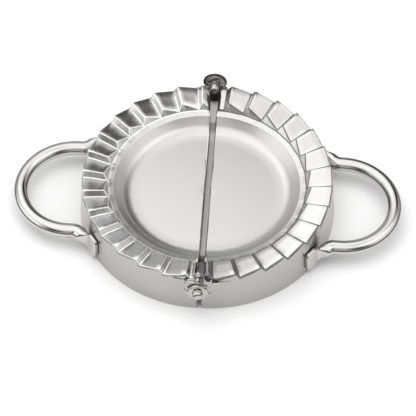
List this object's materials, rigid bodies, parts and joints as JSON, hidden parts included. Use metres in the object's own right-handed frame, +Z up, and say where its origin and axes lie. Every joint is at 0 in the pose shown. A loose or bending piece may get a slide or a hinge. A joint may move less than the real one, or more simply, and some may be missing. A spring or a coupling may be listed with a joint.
{
  "type": "folding dough pocket press",
  "caption": "Round folding press for filled dough pockets: two half-round dishes with pleated rims on cutting walls, a hinge line between them and a rod handle on each side.",
  "frame": {"origin": "on the table, midway along and across the whole press lying open", "axes": "+Z up, Y along the hinge line with the longer pin at -Y, X across the hinge line with one handle at each end"},
  "size_m": [0.1528, 0.1078, 0.0229],
  "materials": {
    "rim_steel": "polished pressed stainless steel with a fine brushed grain",
    "wall_steel": "satin brushed stainless steel",
    "handle_steel": "polished stainless steel",
    "hinge_steel": "polished stainless steel"
  },
  "bodies": {
    "left_half": {"left_die_plate": "rim_steel", "left_cutter_wall": "wall_steel", "left_handle": "handle_steel", "near_hinge_pin": "hinge_steel", "near_spacer_sleeve": "hinge_steel", "near_washer": "hinge_steel", "near_cap": "hinge_steel", "far_hinge_pin": "hinge_steel", "far_washer": "hinge_steel", "far_cap_disc": "hinge_steel"},
    "right_half": {"right_die_plate": "rim_steel", "right_cutter_wall": "wall_steel", "right_handle": "handle_steel"}
  },
  "joints": [
    {"name": "fold", "type": "hinge", "parent": "left_half", "child": "right_half", "pos_m": [0, 0.003, 0.01815], "axis": [0, -1, 0], "range_deg": [-5, 180]}
  ]
}
